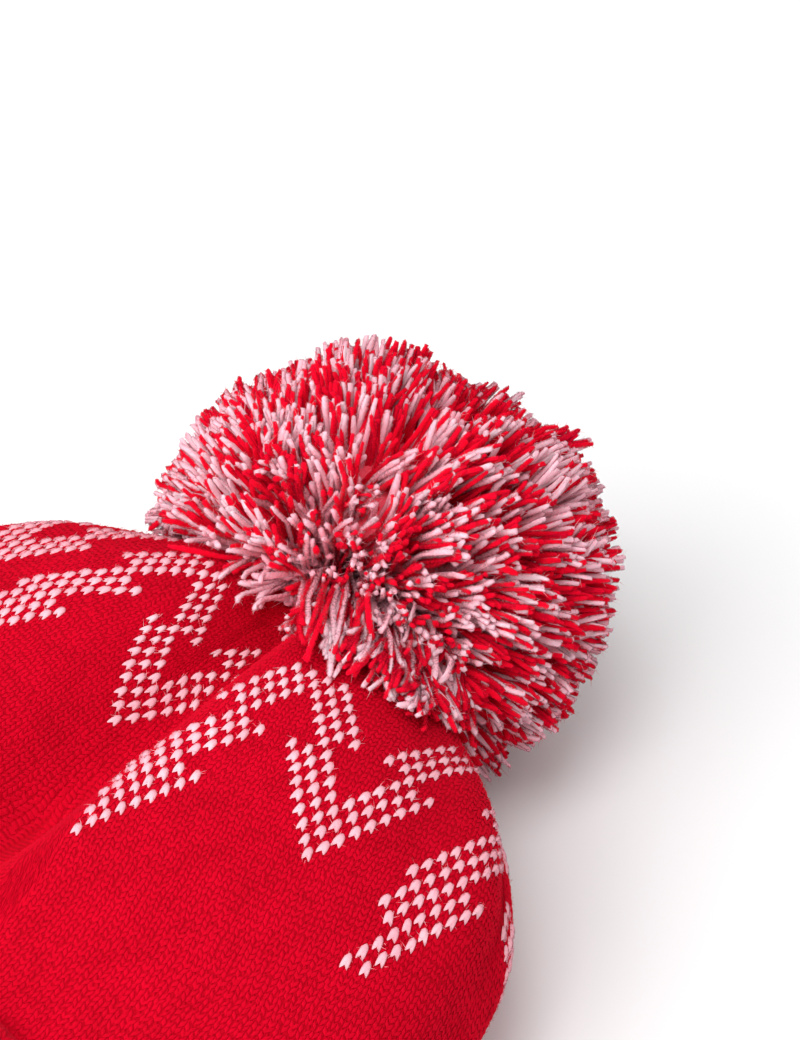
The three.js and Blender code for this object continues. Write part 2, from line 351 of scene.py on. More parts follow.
def gridMesh(name, columns, rows, place):  # a grid bent into a ring, its seams welded
    grid = {"x_segments": columns, "y_segments": rows, "size": 1, "calc_uvs": True}
    mesh = operatorMesh(name, bmesh.ops.create_grid, grid, "knit")
    share = readPoints(mesh)[:, :2] * 0.5 + 0.5
    points, uvs = place(share[:, 0], share[:, 1])
    setPoints(mesh, points)
    corners = np.empty(len(mesh.loops), np.int32)
    mesh.loops.foreach_get("vertex_index", corners)
    mesh.uv_layers["knit"].uv.foreach_set("vector", uvs[corners].astype(np.float32).ravel())
    work = bmesh.new()
    work.from_mesh(mesh)
    bmesh.ops.remove_doubles(work, verts=work.verts, dist=weldDistance)
    bmesh.ops.recalc_face_normals(work, faces=work.faces)
    work.to_mesh(mesh)
    work.free()
    return mesh


def nodeGroup(name, inputs, outputs):
    group = bpy.data.node_groups.new(name, "ShaderNodeTree")
    plain, colour = "NodeSocketFloat", "NodeSocketColor"
    kinds = {3: "NodeSocketVector", 4: colour}
    for label, value in inputs.items():
        kind = kinds[len(value)] if isinstance(value, tuple) else plain
        socket = group.interface.new_socket(label, in_out="INPUT", socket_type=kind)
        socket.default_value = value
    for label in outputs:
        kind = colour if label == "Colour" else plain
        group.interface.new_socket(label, in_out="OUTPUT", socket_type=kind)
    return group, group.nodes.new("NodeGroupInput"), group.nodes.new("NodeGroupOutput")


def feed(tree, node, values):  # a number or a colour is set, anything else is linked
    for slot, value in values.items():
        if isinstance(value, (int, float, tuple)):
            node.inputs[slot].default_value = value
        else:
            tree.links.new(value, node.inputs[slot])


def newNode(tree, kind, values):
    node = tree.nodes.new(kind)
    feed(tree, node, values)
    return node


def groupNode(tree, group, values):
    node = tree.nodes.new("ShaderNodeGroup")
    node.node_tree = group
    feed(tree, node, values)
    return node


def mathNode(tree, operation, *values, kind="ShaderNodeMath"):
    node = newNode(tree, kind, dict(enumerate(values)))
    node.operation = operation
    return node.outputs[0]


def mixColour(tree, factor, a, b):
    node = tree.nodes.new("ShaderNodeMix")
    node.data_type = "RGBA"
    feed(tree, node, {0: factor, 6: a, 7: b})
    return node.outputs[2]


def clamped(tree, value):
    return newNode(tree, "ShaderNodeClamp", {"Value": value}).outputs[0]


def noiseNode(tree, place, scale, detail):
    return newNode(tree, "ShaderNodeTexNoise", {"Vector": place, "Scale": scale, "Detail": detail})


def mapAxes(tree, name):
    place = tree.nodes.new("ShaderNodeUVMap")
    place.uv_map = name
    split = newNode(tree, "ShaderNodeSeparateXYZ", {0: place.outputs["UV"]})
    return split.outputs["X"], split.outputs["Y"]


# loose fibres: a slow drift in tone and a fine felted grain
def makeFibreGroup():
    group, inlet, outlet = nodeGroup(
        "looseFibres",
        {"Colour": (1, 1, 1, 1), "Shade": (0, 0, 0, 1), "Drift": 120.0, "Grain": 1800.0},
        ["Colour", "Height"],
    )
    place = group.nodes.new("ShaderNodeTexCoord").outputs["Object"]
    drift = noiseNode(group, place, inlet.outputs["Drift"], 2)
    grain = noiseNode(group, place, inlet.outputs["Grain"], 3)
    grain.inputs["Roughness"].default_value = 0.65
    both = mathNode(group, "MULTIPLY_ADD", grain.outputs["Fac"], 0.6, drift.outputs["Fac"])
    amount = mathNode(group, "MULTIPLY_ADD", both, 1.6, -0.85)
    tone = mixColour(group, clamped(group, amount), inlet.outputs["Shade"], inlet.outputs["Colour"])
    feed(group, outlet, {"Colour": tone, "Height": grain.outputs["Fac"]})
    return group


# two plies twisted round each other and the fibres along them, on a yarn's own map
def makePlyGroup():
    group, inlet, outlet = nodeGroup(
        "twistedPlies",
        {"Turns": 1.0, "Streaks": 0.6},
        ["Height", "CreviceShade"],
    )
    lap, run = mapAxes(group, "yarn")
    twoLaps = mathNode(group, "MULTIPLY", lap, 2.0)
    turned = mathNode(group, "MULTIPLY_ADD", run, inlet.outputs["Turns"], twoLaps)
    wave = mathNode(group, "SINE", mathNode(group, "MULTIPLY", turned, 2 * math.pi))
    rounded = mathNode(group, "POWER", mathNode(group, "MULTIPLY_ADD", wave, 0.5, 0.5), 0.5)
    stretched = newNode(group, "ShaderNodeCombineXYZ", {
        0: mathNode(group, "MULTIPLY", turned, 9.0), 1: mathNode(group, "MULTIPLY", run, 0.9),
    })
    streak = noiseNode(group, stretched.outputs[0], 1.0, 2)
    lines = mathNode(group, "MULTIPLY_ADD", streak.outputs["Fac"], 2.4, -0.7)
    part = mathNode(group, "MULTIPLY", lines, inlet.outputs["Streaks"])
    height = mathNode(group, "ADD", mathNode(group, "MULTIPLY", rounded, 0.5), part)
    # painted shade: the grooves between the plies are darkened
    creviceShade = clamped(group, mathNode(group, "SUBTRACT", 0.95, height))
    feed(group, outlet, {"Height": height, "CreviceShade": creviceShade})
    return group


# painted shade and painted red bounce light: yarn deeper in the pompom is mixed towards its inner colour
def makeDeepShadeGroup():
    group, inlet, outlet = nodeGroup(
        "paintedDeepShade",
        {"Colour": (1, 1, 1, 1), "InnerShade": (1, 0, 0, 1), "Centre": (0, 0, 0), "Radii": (1, 1, 1)},
        ["Colour"],
    )
    place = group.nodes.new("ShaderNodeTexCoord").outputs["Object"]
    vectorKind = "ShaderNodeVectorMath"
    inward = mathNode(group, "SUBTRACT", place, inlet.outputs["Centre"], kind=vectorKind)
    scaled = mathNode(group, "DIVIDE", inward, inlet.outputs["Radii"], kind=vectorKind)
    away = newNode(group, vectorKind, {0: scaled})
    away.operation = "LENGTH"
    reach = newNode(group, "ShaderNodeMapRange", {"From Min": 0.62, "From Max": 1.02})
    group.links.new(away.outputs["Value"], reach.inputs["Value"])
    reach.interpolation_type = "SMOOTHSTEP"
    tone = mixColour(group, reach.outputs[0], inlet.outputs["InnerShade"], inlet.outputs["Colour"])
    feed(group, outlet, {"Colour": tone})
    return group


# plain knit seen small, on a map counted in stitches
def makeKnitGroup():
    group, inlet, outlet = nodeGroup(
        "plainKnit",
        {"Slant": 0.6},
        ["Height", "CreviceShade"],
    )
    wale, row = mapAxes(group, "knit")
    within = mathNode(group, "FRACT", wale)
    side = mathNode(group, "ABSOLUTE", mathNode(group, "MULTIPLY_ADD", within, 2.0, -1.0))
    leaned = mathNode(group, "MULTIPLY_ADD", side, inlet.outputs["Slant"], row)
    wave = mathNode(group, "SINE", mathNode(group, "MULTIPLY", leaned, 2 * math.pi))
    leg = mathNode(group, "MULTIPLY_ADD", wave, 0.35, 0.5)
    arch = mathNode(group, "SINE", mathNode(group, "MULTIPLY", side, math.pi))
    height = mathNode(group, "MULTIPLY", leg, mathNode(group, "MULTIPLY_ADD", arch, 0.7, 0.3))
    # painted shade: the knit is darkened between the stitch legs
    creviceShade = mathNode(group, "SUBTRACT", 0.7, height)
    feed(group, outlet, {"Height": height, "CreviceShade": creviceShade})
    return group


# yarn thins out to loose fibres at its rim and lets some of the light through; where it turns from view it
# is tinted with painted shade
rimForm = {"thinning": -1.9, "grainHold": 2.7, "shadowLoss": -0.4, "rimShading": 1.4}


def makeRimGroup():
    group, inlet, outlet = nodeGroup(
        "softRimPaintedShade",
        {"Colour": (1, 1, 1, 1), "Tint": (1, 1, 1, 1), "Grain": 0.5, "Facing": 0.0, "Shadow": 0.0,
         "Solidness": 0.5},
        ["Colour", "Alpha"],
    )
    facing = inlet.outputs["Facing"]
    solid = mathNode(group, "MULTIPLY_ADD", facing, rimForm["thinning"], inlet.outputs["Solidness"])
    grain = mathNode(group, "MULTIPLY_ADD", inlet.outputs["Grain"], rimForm["grainHold"], solid)
    let = mathNode(group, "MULTIPLY_ADD", inlet.outputs["Shadow"], rimForm["shadowLoss"], 1.0)
    alpha = mathNode(group, "MULTIPLY", clamped(group, grain), let)
    # painted shade: the sides turned from view are mixed towards the tint
    rim = mathNode(group, "MULTIPLY", facing, rimForm["rimShading"])
    tone = mixColour(group, rim, inlet.outputs["Colour"], inlet.outputs["Tint"])
    feed(group, outlet, {"Colour": tone, "Alpha": alpha})
    return group


fibreGroup = makeFibreGroup()
plyGroup = makePlyGroup()
knitGroup = makeKnitGroup()
deepShadeGroup = makeDeepShadeGroup()
rimGroup = makeRimGroup()

# what all the yarns share
yarnSurface = {"Roughness": 0.92, "Specular IOR Level": 0.03, "Sheen Roughness": 0.55}
bumpStrength = {"grain": 0.6, "relief": 0.9}
glowForm = {"Subsurface Radius": (1.0, 0.35, 0.4), "Subsurface Scale": 0.003}
yarnLooks = {  # the rim entry is a painted shade tint and how solid the yarn is there; crevice and inner colours are painted shade, inner also painted red bounce light
    "pompomRed": {
        "colour": (0.92, 0.0015, 0.024), "shade": (0.80, 0.001, 0.018), "creviceShade": (0.62, 0.0005, 0.011),
        "inner": (0.84, 0.002, 0.02), "sheen": 0.9, "tint": (1.0, 0.02, 0.06), "turns": 0.45, "glow": 0.5,
        "edge": ((0.84, 0.002, 0.02), 0.08),
    },
    "pompomWhite": {
        "colour": (0.99, 0.68, 0.75), "shade": (0.98, 0.54, 0.62), "creviceShade": (0.96, 0.38, 0.46),
        "inner": (0.95, 0.19, 0.28), "sheen": 0.9, "tint": (1.0, 0.75, 0.80), "turns": 0.45, "glow": 0.5,
        "edge": ((0.95, 0.19, 0.28), 0.22),
    },
    "pompomHeart": {
        "colour": (0.92, 0.002, 0.022), "shade": (0.94, 0.16, 0.23),
        "sheen": 0.5, "tint": (1.0, 0.1, 0.15),
    },
    "knitRed": {
        "colour": (0.58, 0.001, 0.016), "shade": (0.48, 0.001, 0.012),
        "sheen": 0.25, "tint": (1.0, 0.02, 0.06),
    },
    "knitWhite": {
        "colour": (0.88, 0.58, 0.63), "shade": (0.78, 0.36, 0.42),
        "sheen": 0.2, "tint": (1.0, 0.75, 0.80), "edge": ((0.80, 0.30, 0.37), 0.5),
    },
    "knitGround": {
        "colour": (0.51, 0.001, 0.012), "shade": (0.41, 0.001, 0.009), "creviceShade": (0.27, 0.0, 0.005),
        "sheen": 0.2, "tint": (1.0, 0.02, 0.06),
    },
    "knitInside": {
        "colour": (0.48, 0.008, 0.02), "shade": (0.54, 0.13, 0.16), "creviceShade": (0.25, 0.015, 0.025),
        "sheen": 0.2, "tint": (0.9, 0.2, 0.25),
    },
    "ribRed": {
        "colour": (0.59, 0.002, 0.017), "shade": (0.45, 0.002, 0.012), "creviceShade": (0.23, 0.0, 0.003),
        "sheen": 0.2, "tint": (0.9, 0.05, 0.1),
    },
}


def makeYarn(name, relief=None, grainDistance=0.00012):
    look = yarnLooks[name]
    material = bpy.data.materials.new(name)
    material.use_nodes = True
    tree = material.node_tree
    shader = tree.nodes["Principled BSDF"]
    feed(tree, shader, {**yarnSurface, "Sheen Weight": look["sheen"], "Sheen Tint": (*look["tint"], 1)})
    fibres = groupNode(tree, fibreGroup, {"Colour": (*look["colour"], 1), "Shade": (*look["shade"], 1)})
    colour = fibres.outputs["Colour"]
    bump = newNode(tree, "ShaderNodeBump", {
        "Strength": bumpStrength["grain"], "Distance": grainDistance, "Height": fibres.outputs["Height"],
    })
    if relief is not None:
        group, distance, creviceShading = relief
        form = groupNode(tree, group, {"Turns": look["turns"]} if "turns" in look else {})
        bump = newNode(tree, "ShaderNodeBump", {
            "Strength": bumpStrength["relief"], "Distance": distance,
            "Height": form.outputs["Height"], "Normal": bump.outputs["Normal"],
        })
        # painted shade: the relief's crevices are mixed towards the crevice colour
        amount = mathNode(tree, "MULTIPLY", form.outputs["CreviceShade"], creviceShading)
        colour = mixColour(tree, amount, colour, (*look["creviceShade"], 1))
    if "edge" in look:
        # fuzzy rim, its tint painted shade on the yarn's sides
        tint, solidness = look["edge"]
        facing = newNode(tree, "ShaderNodeLayerWeight", {"Blend": 0.5})
        path = tree.nodes.new("ShaderNodeLightPath")
        rim = groupNode(tree, rimGroup, {
            "Colour": colour, "Tint": (*tint, 1), "Grain": fibres.outputs["Height"], "Solidness": solidness,
            "Facing": facing.outputs["Facing"], "Shadow": path.outputs["Is Shadow Ray"],
        })
        colour = rim.outputs["Colour"]
        feed(tree, shader, {"Alpha": rim.outputs["Alpha"]})
    if "inner" in look:
        # painted shade and red bounce light, stronger deeper in the pompom
        centre = (pompomForm["centre"] + np.array([gatherX, 0, 0])) * mm
        deep = groupNode(tree, deepShadeGroup, {
            "Colour": colour, "InnerShade": (*look["inner"], 1),
            "Centre": tuple(centre), "Radii": tuple(pompomForm["radii"] * mm),
        })
        colour = deep.outputs["Colour"]
        feed(tree, shader, {**glowForm, "Subsurface Weight": look["glow"]})
    feed(tree, shader, {"Base Color": colour, "Normal": bump.outputs["Normal"]})
    return material


# reliefs: their group, depth in metres and how strongly painted shade darkens their crevices
plies = (plyGroup, 0.0003, 0.5)
outsideKnit = (knitGroup, 0.0004, 0.5)
insideKnit = (knitGroup, 0.0004, 0.6)
pompomRed = makeYarn("pompomRed", plies)
pompomWhite = makeYarn("pompomWhite", plies)
pompomHeart = makeYarn("pompomHeart", grainDistance=0.0006)
knitRed = makeYarn("knitRed")
knitWhite = makeYarn("knitWhite")
knitGround = makeYarn("knitGround", outsideKnit)
knitInside = makeYarn("knitInside", insideKnit)
ribRed = makeYarn("ribRed", outsideKnit)
print("yarn materials made")


# knitted body: one wall, out along its face, over the rim and back inside, closed at the gather
bodyWall = {
    "columns": 238, "outerRows": 80, "rimRows": 3, "innerRows": 34, "gatherRows": 2,
    "sunk": 0.25,  # under the stitches
    "rimBulge": 0.35,
    "rimOutside": 2,  # rows of the rim that are still the outside of the knit
}
bodyRows = bodyWall["outerRows"] + bodyWall["rimRows"] + bodyWall["innerRows"] + bodyWall["gatherRows"]


def placeBody(across, along):
    parts = bodyWall
    step = along * bodyRows
    outEnd = parts["outerRows"]
    rimEnd = outEnd + parts["rimRows"]
    inEnd = rimEnd + parts["innerRows"]
    stages = [step <= outEnd, step <= rimEnd, step <= inEnd]
    full = np.ones_like(step)
    share = np.select(stages, [step / outEnd, full, 1 - (step - rimEnd) / parts["innerRows"]], 0.0)
    atGather = 1 - (step - inEnd) / parts["gatherRows"]
    depth = np.select(stages, [0 * full, (step - outEnd) / parts["rimRows"], full], atGather)
    wale = across * knitMap["wales"]
    line = share * (len(knitRows) - 1)
    i = np.clip(np.floor(line).astype(int), 0, len(knitRows) - 2)
    t = line - i
    j = np.clip(np.round(wale * 2).astype(int), 0, knitAngles.shape[1] - 1)
    angle = knitAngles[i, j] * (1 - t) + knitAngles[i + 1, j] * t
    row = knitRows[i, j] * (1 - t) + knitRows[i + 1, j] * t
    onRim = (step > outEnd) * (step < rimEnd)
    bulge = parts["rimBulge"] * np.sin(np.pi * np.clip(depth, 0, 1)) * onRim
    points = hatPoint(row, angle, -parts["sunk"] - (hatForm["wall"] - parts["sunk"]) * depth, bulge)
    return points, np.stack([wale, share * 2 * knitMap["rows"]], -1)


bodyMesh = gridMesh("beanie_body", bodyWall["columns"], bodyRows, placeBody)
body = newPiece("beanie_body", bodyMesh, knitGround, knitInside)
print("body wall:", len(body.data.polygons), "faces")

# faces past the rim are the inside of the knit
inner = np.zeros(len(body.data.polygons), np.int32)
inner[bodyWall["columns"] * (bodyWall["outerRows"] + bodyWall["rimOutside"]):] = 1
body.data.polygons.foreach_set("material_index", inner)
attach(body, "root")
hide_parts("knit_body")


# the motif: slanting lines of single white stitches, the arms mirrored about its axis
motif = {
    "across": 32,
    "along": 36,
    "drop": 16,  # the next band is moved across by this
    "axis": 87,
    "leg": [  # wales left of the axis, first row, wales to the next row, stitches
        (13, 18, 1, 6), (12, 19, 1, 5), (11, 20, 1, 12), (14, 25, 1, 10), (12, 25, 1, 11),
        (16, 31, 1, 9), (14, 31, 1, 9),
    ],
    "arm": [
        (11, 18, -1, 12), (9, 18, -1, 6), (7, 18, -1, 6), (6, 25, -1, 7), (8, 25, -1, 9),
    ],
}


def motifCells():
    mirrored = [(-across, row, -step, count) for across, row, step, count in motif["arm"]]
    cells = set()
    for across, row, step, count in motif["leg"] + motif["arm"] + mirrored:
        for k in range(count):
            for band in (0, 1):
                for repeat in range(-4, 5):
                    shift = across + k * step + band * motif["drop"] + repeat * motif["across"]
                    if abs(shift) < knitMap["wales"] / 2:
                        wale = (motif["axis"] + shift) % knitMap["wales"]
                        cells.add((wale, row + k + band * motif["along"]))
    return cells


stitchForm = {
    "firstRow": 5,  # nearer the gather the pompom hides them
    "lastRow": 61,  # under the cuff's edge
    "drawnUp": 9,  # rows from further down that the drags bring up
    "redHeight": 0.2,
    "narrowest": 0.35,  # of a full wale, below which a stitch is lost in a tuck
    "lowest": 1.2,  # stitches below this are pressed flat on the floor
    "steepest": 1.2,  # rows of drag in one wale, past which the crease's wall has no white
    "jitter": {"across": 0.05, "along": 0.07, "wide": 0.12, "tall": 0.1, "skew": 0.08, "proud": 0.4},
}
stitchDice = np.random.default_rng(5)

rowsDrawn = np.arange(stitchForm["firstRow"], stitchForm["lastRow"] + stitchForm["drawnUp"])
walesNow, rowsNow = (grid.ravel() for grid in np.meshgrid(np.arange(knitMap["wales"]), rowsDrawn))
leftEdge = onKnit(walesNow + 0.02, rowsNow + 0.5, 0.0)
rightEdge = onKnit(walesNow + 0.98, rowsNow + 0.5, 0.0)
waleWidth = np.linalg.norm(rightEdge - leftEdge, axis=1)
shown = (waleWidth > stitchForm["narrowest"] * knitMap["pitch"]) & (leftEdge[:, 2] > stitchForm["lowest"])
baseRow = drawnRow(walesNow, rowsNow)
shown &= (baseRow > stitchForm["firstRow"]) & (baseRow < stitchForm["lastRow"])
whiteCells = motifCells()
white = shown & np.array([(w, r) in whiteCells for w, r in zip(walesNow.tolist(), rowsNow.tolist())])
white &= np.abs(drawnRow(walesNow + 1, rowsNow) - baseRow) < stitchForm["steepest"]

# half of a white stitch, rounded to the crown and forked to the rim: across, along and height by column
whiteHalf = [
    [(0.0, -0.60, -0.05), (0.0, -0.40, 0.42), (0.0, -0.12, 0.48), (0.0, 0.10, 0.25), (0.0, 0.24, -0.12)],
    [(0.12, -0.57, 0.0), (0.24, -0.37, 0.52), (0.26, -0.03, 0.66), (0.29, 0.30, 0.52), (0.34, 0.56, -0.02)],
    [(0.22, -0.5, -0.12), (0.43, -0.32, -0.12), (0.47, -0.02, -0.12), (0.48, 0.28, -0.12),
     (0.42, 0.52, -0.12)],
]
# one leg of a red stitch: four low corners and its crest
redLeg = np.array([
    (0.05, -0.64, -0.12), (0.47, -0.08, -0.12), (0.42, 0.62, -0.12), (0.02, 0.06, -0.12),
    (0.25, -0.02, stitchForm["redHeight"]),
])


def whiteStitch():
    sides = [[(-a, b, h) for a, b, h in column] for column in (whiteHalf[2], whiteHalf[1])]
    points = np.array(sides + whiteHalf).reshape(-1, 3)
    corner = (np.arange(4)[:, None] * 5 + np.arange(4)).ravel()[:, None]
    return points, corner + np.array([0, 1, 6, 5]), noTris


def redStitch():
    left = redLeg * np.array([-1, 1, 1])
    fan = np.array([(0, 3, 4), (3, 2, 4), (2, 1, 4), (1, 0, 4)])
    return np.concatenate([redLeg, left]), noQuads, np.concatenate([fan, fan[:, ::-1] + len(redLeg)])


def joinStitches(name, wales, rows, rowScale, stitch, material, loose):
    points, quads, tris = stitch
    count = len(wales)
    a, b, h = points.T
    jitter = {key: value * loose for key, value in stitchForm["jitter"].items()}
    w = (wales + 0.5 + stitchDice.normal(0, jitter["across"], count))[:, None]
    r = (rows + 0.5 * rowScale + stitchDice.normal(0, jitter["along"] * rowScale, count))[:, None]
    wide = stitchDice.uniform(1 - jitter["wide"], 1 + jitter["wide"], (count, 1))
    tall = stitchDice.uniform(1 - jitter["tall"], 1 + jitter["tall"], (count, 1)) * rowScale
    skew = stitchDice.normal(0, jitter["skew"], (count, 1))
    proud = stitchDice.uniform(1 - jitter["proud"], 1 + jitter["proud"], (count, 1))
    placed = onKnit(w + a * wide + b * skew, r + b * tall, np.where(h > 0, h * proud, h))
    starts = np.arange(count)[:, None, None] * len(points)
    allQuads = (starts + quads).reshape(-1, 4)
    allTris = (starts + tris).reshape(-1, 3)
    ridingPiece(name, arrayMesh(name, placed.reshape(-1, 3), allQuads, allTris), material)
    print(name, count, "stitches,", 2 * len(allQuads) + len(allTris), "triangles")


joinStitches("white_stitches", walesNow[white], rowsNow[white], 1.0, whiteStitch(), knitWhite, 0.7)

# red stitches, two to a row, wherever no white one covers them
redCells = shown & ~white
redWales = np.repeat(walesNow[redCells], 2)
redRows = np.repeat(rowsNow[redCells], 2) + np.tile([0.0, 0.5], redCells.sum())
farSide = redWales >= knitMap["wales"] / 2
joinStitches("red_stitches_near", redWales[~farSide], redRows[~farSide], 0.5, redStitch(), knitRed, 1.3)
joinStitches("red_stitches_far", redWales[farSide], redRows[farSide], 0.5, redStitch(), knitRed, 1.3)


# short fibres that stand off the knit
fuzzForm = {
    "perRed": 5,
    "perWhite": 10,
    "startHeight": 0.15,
    "driftAcross": 0.45,
    "driftAlong": 0.3,
    "endHeights": (0.3, 1.1),
    "longest": 2.2,
    "halfWidth": 0.045,
}


def knitFuzz(name, wales, rows, each, material):
    pick = np.repeat(np.arange(len(wales)), each)
    count = len(pick)
    w = wales[pick] + stitchDice.random(count)
    r = rows[pick] + stitchDice.random(count)
    starts = onKnit(w, r, fuzzForm["startHeight"])
    across = w + stitchDice.normal(0, fuzzForm["driftAcross"], count)
    along = r + stitchDice.normal(0, fuzzForm["driftAlong"], count)
    ends = onKnit(across, along, stitchDice.uniform(*fuzzForm["endHeights"], count))
    short = np.linalg.norm(ends - starts, axis=1) < fuzzForm["longest"]
    starts, ends = starts[short], ends[short]
    side = unit(np.cross(ends - starts, stitchDice.normal(0, 1, starts.shape))) * fuzzForm["halfWidth"]
    points = np.stack([starts - side, starts + side, ends], 1).reshape(-1, 3)
    mesh = arrayMesh(name, points, noQuads, np.arange(len(points)).reshape(-1, 3))
    ridingPiece(name, mesh, material)
    print(name, len(starts), "fibres")


knitFuzz("red_knit_fuzz", walesNow[redCells], rowsNow[redCells], fuzzForm["perRed"], knitRed)
knitFuzz("white_knit_fuzz", walesNow[white], rowsNow[white], fuzzForm["perWhite"], knitWhite)


# ribbed cuff, turned up over the rim
cuffForm = {
    "ribs": 54,
    "perRib": 8,
    "depth": 1.1,
    "rise": (0.12, 0.3),  # shares of a rib
    "fall": (0.7, 0.88),
    "split": 0.22,
    "splitWidth": 0.05,
    "walesPerRib": 4,
    "rowHeight": 1.53,
    "profile": np.array([  # share of the height, off the body, rib share, past the rim, rows to the next
        (0, 0.4, 0, 0, 1),
        (0, 2.4, 0.4, 0, 1),
        (0.01, 3.5, 0.7, 0, 1),
        (0.05, 4.0, 1, 0, 30),
        (1, 3.8, 1, 0, 1),
        (1, 3.3, 0.9, 1.6, 1),
        (1, 2.1, 0.7, 2.9, 1),
        (1, 0.4, 0.4, 3.5, 1),
        (1, -1.4, 0.15, 3.3, 1),
        (1, -2.6, 0, 2.3, 1),
        (1, -3, 0, 1.2, 1),
        (1, -3, 0, 0.4, 2),
        (1, 0.4, 0, 0.4, 12),
        (0, 0.4, 0, 0, 0),
    ], float),
}


def rimAngles(shares):
    dense = np.linspace(-math.pi, math.pi, 2881)
    run = runAlong(hatPoint(np.full_like(dense, len(hatForm["ovals"]) - 1.0), dense))
    return np.interp(shares * run[-1], run, dense)


def rowAtBack(back):
    fine = np.linspace(0, len(hatForm["ovals"]) - 1, 4001)
    return np.interp(back, ovalAt(fine)[:, 0], fine)


def ribRelief(ribPlace):  # two raised wales and a sunk pair
    t = np.mod(ribPlace, 1.0)
    raised = smoothStep(t, *cuffForm["rise"]) * (1 - smoothStep(t, *cuffForm["fall"]))
    return raised - cuffForm["split"] * np.exp(-(((t - 0.5) / cuffForm["splitWidth"]) ** 2))


cuffEnds = np.concatenate([[0], np.cumsum(cuffForm["profile"][:-1, 4])])
cuffRows = int(cuffEnds[-1])


def placeCuff(across, along):
    share, offset, rib, pastRim = (
        np.interp(along * cuffRows, cuffEnds, cuffForm["profile"][:, k]) for k in range(4)
    )
    back = hatForm["length"] - hatForm["cuffHeight"] * (1 - share)
    offset = offset - cuffForm["depth"] * rib * (1 - ribRelief(across * cuffForm["ribs"]))
    points = hatPoint(rowAtBack(back), rimAngles(across), offset, pastRim)
    wales = across * cuffForm["ribs"] * cuffForm["walesPerRib"]
    return points, np.stack([wales, back / cuffForm["rowHeight"]], -1)


cuffMesh = gridMesh("turned_up_cuff", cuffForm["ribs"] * cuffForm["perRib"], cuffRows, placeCuff)
cuff = newPiece("turned_up_cuff", cuffMesh, ribRed)
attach(cuff, "root")
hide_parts("ribbed_cuff")
print("cuff:", len(cuff.data.polygons), "faces")


# pompom: yarn ends from the tie out to a round form, the rear ones draped on the hat
dice = np.random.default_rng(11)


def evenDirections(count):
    k = np.arange(count)
    forward = 1 - 2 * (k + 0.5) / count
    across = np.sqrt(1 - forward**2)
    turn = k * math.pi * (3 - math.sqrt(5))
    return np.stack([forward, across * np.cos(turn), across * np.sin(turn)], 1)


def parted(directions):
    form = pompomForm
    side = directions[:, 1] * form["radii"][1] + form["centre"][1] - form["partingSide"]
    blend = form["partingBlend"]
    upper = smoothStep(directions[:, 2] - blend * directions[:, 0], -blend, blend)
    push = np.tanh(side / form["partingSharp"]) * np.exp(-((side / form["partingReach"]) ** 2)) * upper
    moved = directions.copy()
    moved[:, 1] += form["partingPush"] * push
    return unit(moved), 1 - form["partingDip"] * np.exp(-((side / form["partingWidth"]) ** 2)) * upper


def clearOfCrown(tips):  # true where an end is ahead of the hat or stands well off its shoulders
    back = np.maximum(-tips[:, 0], 0)
    room = pompomForm["crownRoom"]
    _, half, top, bottom = ovalAt(rowAtBack(back)).T
    across = tips[:, 1] / (half + room)
    upright = (tips[:, 2] - (top + bottom) / 2) / ((top - bottom) / 2 + room)
    return (tips[:, 0] > pompomForm["aheadBy"]) | (across**2 + upright**2 > 1)


def roundEnds():  # ends on the round form, and which way each one leaves it
    form = pompomForm
    directions = evenDirections(form["strands"])
    count = len(directions)
    directions = unit(directions + dice.normal(0, form["endJitter"], directions.shape))
    directions, dip = parted(directions)
    locks = unit(evenDirections(form["locks"]) + dice.normal(0, form["lockJitter"], (form["locks"], 3)))
    locks, _ = parted(locks)
    nearest = np.argmax(directions @ locks.T, axis=1)
    pull = form["lockPull"] * dice.uniform(*form["pullRange"], count)[:, None]
    clumped = unit(directions * (1 - pull) + locks[nearest] * pull)
    trim = dice.uniform(*form["lockTrim"], len(locks))[nearest] * dice.uniform(*form["endTrim"], count) * dip
    shorter = dice.random(count) < form["shortShare"]
    trim = np.where(shorter, trim * dice.uniform(*form["shortTrim"], count), trim)
    for heading, starts, full, longer in form["lobes"]:
        trim = trim * (1 + longer * smoothStep(clumped @ np.array(heading), starts, full))
    tips = form["centre"] + clumped * form["radii"] * trim[:, None]
    keep = clearOfCrown(tips)
    return tips[keep], directions[keep]


collarForm = {
    "shownShare": 0.7,
    "shownTurns": (-66, 62),
    "strayTurns": (1, 17),
    "strayReach": (6, 18),
    "lyingShare": 0.55,
    "lyingReach": (0.45, 1.0),
    "standingReach": (0.05, 0.85),
    "reachJitter": 1.3,
    "least": 0.6,
    "lowest": 1.0,
    "lyingHeight": 4.0,
    "standingHeight": 2.0,
    "standingRise": 15,
    "standingCurve": 0.8,
}


